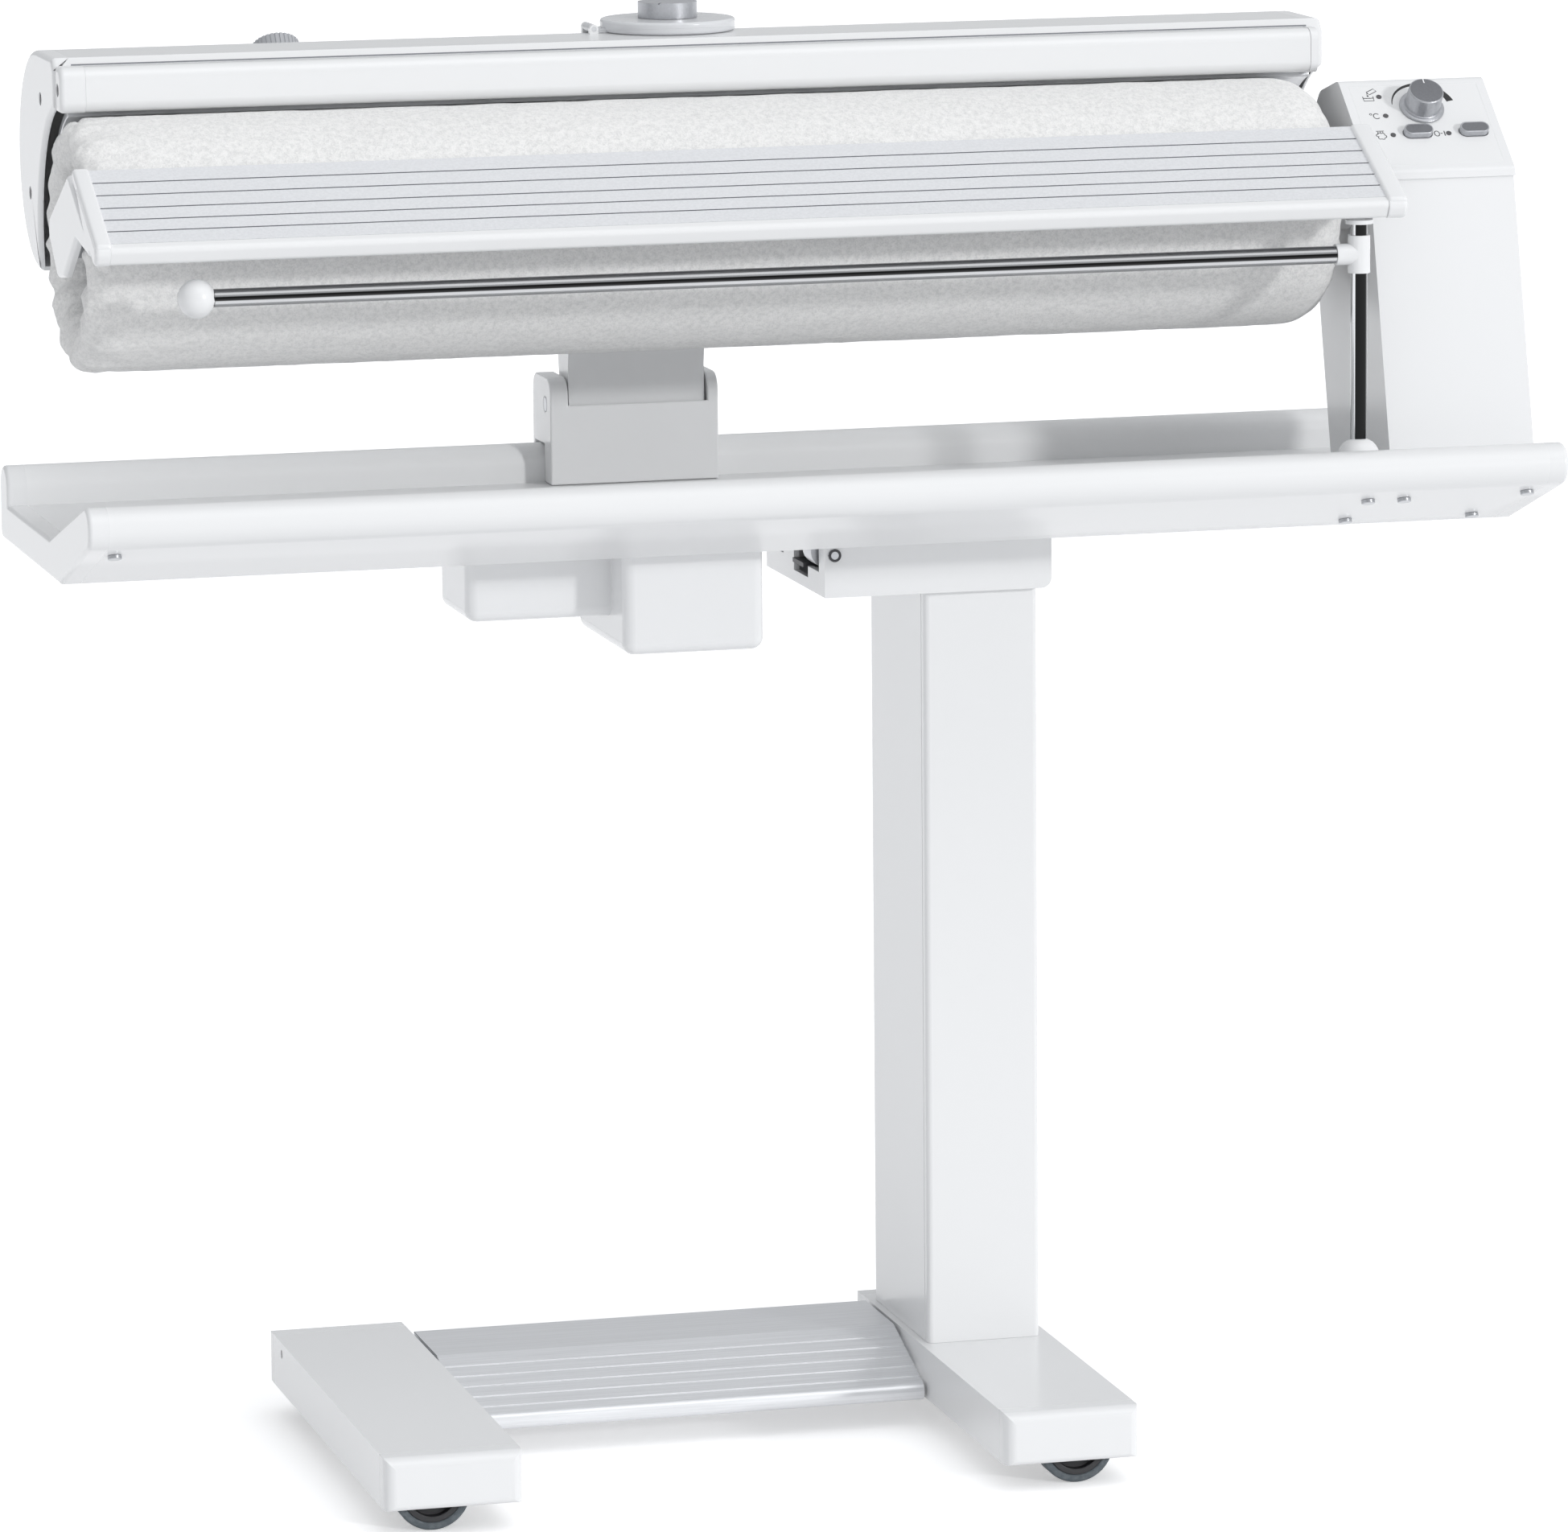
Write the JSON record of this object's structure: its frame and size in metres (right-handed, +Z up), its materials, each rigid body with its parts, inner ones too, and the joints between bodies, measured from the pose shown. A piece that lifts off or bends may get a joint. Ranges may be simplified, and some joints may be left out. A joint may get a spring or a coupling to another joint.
{
  "type": "flatwork ironer",
  "caption": "Folding flatwork ironer: a felt roller under a tilting steam shoe, with a feed plate, laundry tray, control tower, laundry rail and a wheeled pedal stand.",
  "frame": {"origin": "On the floor, under the middle of the machine's width and depth.", "axes": "+X to the right as the user faces it, +Y to the back, +Z up."},
  "size_m": [0.985, 0.38, 0.9683],
  "materials": {
    "white_paint": "smooth gloss white paint",
    "white_plastic": "gloss white moulding",
    "black_plastic": "fine matt black",
    "anodised": "satin silver anodised",
    "steel": "plain steel",
    "dark_steel": "blackened steel",
    "chrome": "polished chrome",
    "tyre": "grey rubber",
    "buffer": "black rubber",
    "felt": "thick white felt",
    "clear_plastic": "clear moulding",
    "tank_plastic": "milky moulding",
    "silver_plastic": "metallic silver lacquer",
    "dial_plastic": "grey, ribbed edge",
    "lamp": "unlit dark lens",
    "steam_shoe": "polished shoe face"
  },
  "bodies": {
    "stand": {"left_foot": "white_paint", "right_foot": "white_paint", "foot_caps": "white_plastic", "wheel_housings": "black_plastic", "wheel_axles": "steel", "cross_tube": "steel", "pedal_rod": "steel", "pedal_spring": "steel", "column": "white_paint", "column_bolts": "steel", "hinge_bracket": "white_paint", "hinge_pin": "steel", "rest_buffers": "buffer"},
    "head": {"tray": "white_paint", "tray_caps": "white_plastic", "hinge_plate": "steel", "tray_screws": "steel", "under_box": "white_paint", "tower_housing": "white_paint", "tower_frame": "steel", "control_panel": "white_plastic", "gear_motor": "steel", "indicator_lamps": "lamp", "feed_plate": "anodised", "feed_nose": "white_plastic", "plate_caps": "white_plastic", "rail_post": "chrome", "post_fittings": "white_plastic", "arm_housing": "white_plastic", "arm_pin": "steel"},
    "steam_shoe": {"heated_shoe": "steam_shoe", "heating_elements": "dark_steel", "hood_shell": "white_paint", "hood_caps": "white_plastic", "front_rail": "white_paint", "shoe_arm": "white_plastic", "water_tank": "tank_plastic"},
    "wheel_front_left": {"tyre_front_left": "tyre", "hub_front_left": "black_plastic"},
    "wheel_front_right": {"tyre_front_right": "tyre", "hub_front_right": "black_plastic"},
    "wheel_back_left": {"tyre_back_left": "tyre", "hub_back_left": "black_plastic"},
    "wheel_back_right": {"tyre_back_right": "tyre", "hub_back_right": "black_plastic"},
    "pedal": {"pedal_plate": "anodised"},
    "latch": {"latch_lever": "dark_steel"},
    "power_key": {"power_button": "silver_plastic"},
    "steam_key": {"steam_button": "silver_plastic"},
    "heat_knob": {"temperature_knob": "silver_plastic"},
    "roller": {"roller_drum": "anodised", "roller_felt": "felt", "roller_shaft": "steel", "roller_gear": "steel"},
    "pinion": {"motor_pinion": "steel"},
    "lid": {"filler_lid": "clear_plastic"},
    "knob_of_lid": {"lid_knob": "silver_plastic"},
    "dial": {"steam_dial": "dial_plastic"},
    "rail": {"laundry_bar": "chrome", "bar_fittings": "white_plastic"}
  },
  "joints": [
    {"name": "head_fold", "type": "hinge", "parent": "stand", "child": "head", "pos_m": [0.0456, 0.0865, 0.6012], "axis": [0, -1, 0], "range_deg": [0, 90]},
    {"name": "spin_front_left", "type": "hinge", "parent": "stand", "child": "wheel_front_left", "pos_m": [-0.276, -0.1575, 0.0253], "axis": [0, 1, 0], "continuous": true},
    {"name": "spin_front_right", "type": "hinge", "parent": "stand", "child": "wheel_front_right", "pos_m": [0.1605, -0.1575, 0.0253], "axis": [0, 1, 0], "continuous": true},
    {"name": "spin_back_left", "type": "hinge", "parent": "stand", "child": "wheel_back_left", "pos_m": [-0.276, 0.1575, 0.0253], "axis": [0, 1, 0], "continuous": true},
    {"name": "spin_back_right", "type": "hinge", "parent": "stand", "child": "wheel_back_right", "pos_m": [0.1605, 0.1575, 0.0253], "axis": [0, 1, 0], "continuous": true},
    {"name": "pedal_press", "type": "hinge", "parent": "stand", "child": "pedal", "pos_m": [-0.058, 0.146, 0.047], "axis": [1, 0, 0], "range_deg": [0, 4], "stiffness_Nm_per_rad": 15, "springref_deg": -5.73},
    {"name": "latch_release", "type": "hinge", "parent": "stand", "child": "latch", "pos_m": [0.0654, 0.084, 0.5882], "axis": [0, 1, 0], "range_deg": [0, 10], "stiffness_Nm_per_rad": 2, "springref_deg": -11.46},
    {"name": "shoe_tilt", "type": "hinge", "parent": "head", "child": "steam_shoe", "pos_m": [-0.066, 0.114, 0.697], "axis": [-1, 0, 0], "range_deg": [0, 5]},
    {"name": "roller_spin", "type": "hinge", "parent": "head", "child": "roller", "pos_m": [-0.05, -0.018, 0.8302], "axis": [1, 0, 0], "continuous": true},
    {"name": "pinion_spin", "type": "hinge", "parent": "head", "child": "pinion", "pos_m": [0.41, -0.018, 0.78333], "axis": [1, 0, 0], "continuous": true},
    {"name": "turn_temperature_knob", "type": "hinge", "parent": "head", "child": "heat_knob", "pos_m": [0.44106, -0.03756, 0.89166], "axis": [0, 0.6269, -0.7791], "range_deg": [0, 280]},
    {"name": "press_power_button", "type": "slide", "parent": "head", "child": "power_key", "axis": [0, 0.6269, -0.7791], "range_m": [0, 0.002], "stiffness_N_per_m": 60, "springref_m": -0.002},
    {"name": "press_steam_button", "type": "slide", "parent": "head", "child": "steam_key", "axis": [0, 0.6269, -0.7791], "range_m": [0, 0.002], "stiffness_N_per_m": 60, "springref_m": -0.002},
    {"name": "swing_laundry_rail", "type": "hinge", "parent": "head", "child": "rail", "pos_m": [0.36, -0.15, 0.8085], "axis": [0, 0, 1], "range_deg": [0, 95]},
    {"name": "open_filler_lid", "type": "hinge", "parent": "steam_shoe", "child": "lid", "pos_m": [-0.1018, 0.075, 0.95225], "axis": [0, -1, 0], "range_deg": [0, 100]},
    {"name": "turn_lid_knob", "type": "hinge", "parent": "lid", "child": "knob_of_lid", "pos_m": [-0.0486, 0.075, 0.9577], "axis": [0, 0, 1], "range_deg": [0, 90]},
    {"name": "turn_steam_dial", "type": "hinge", "parent": "steam_shoe", "child": "dial", "pos_m": [-0.305, 0.11669, 0.9357], "axis": [0, 0.6225, 0.7826], "range_deg": [0, 180]}
  ],
  "couplings": [
    {"joint": "pinion_spin", "follows": "roller_spin", "ratio": -4}
  ]
}
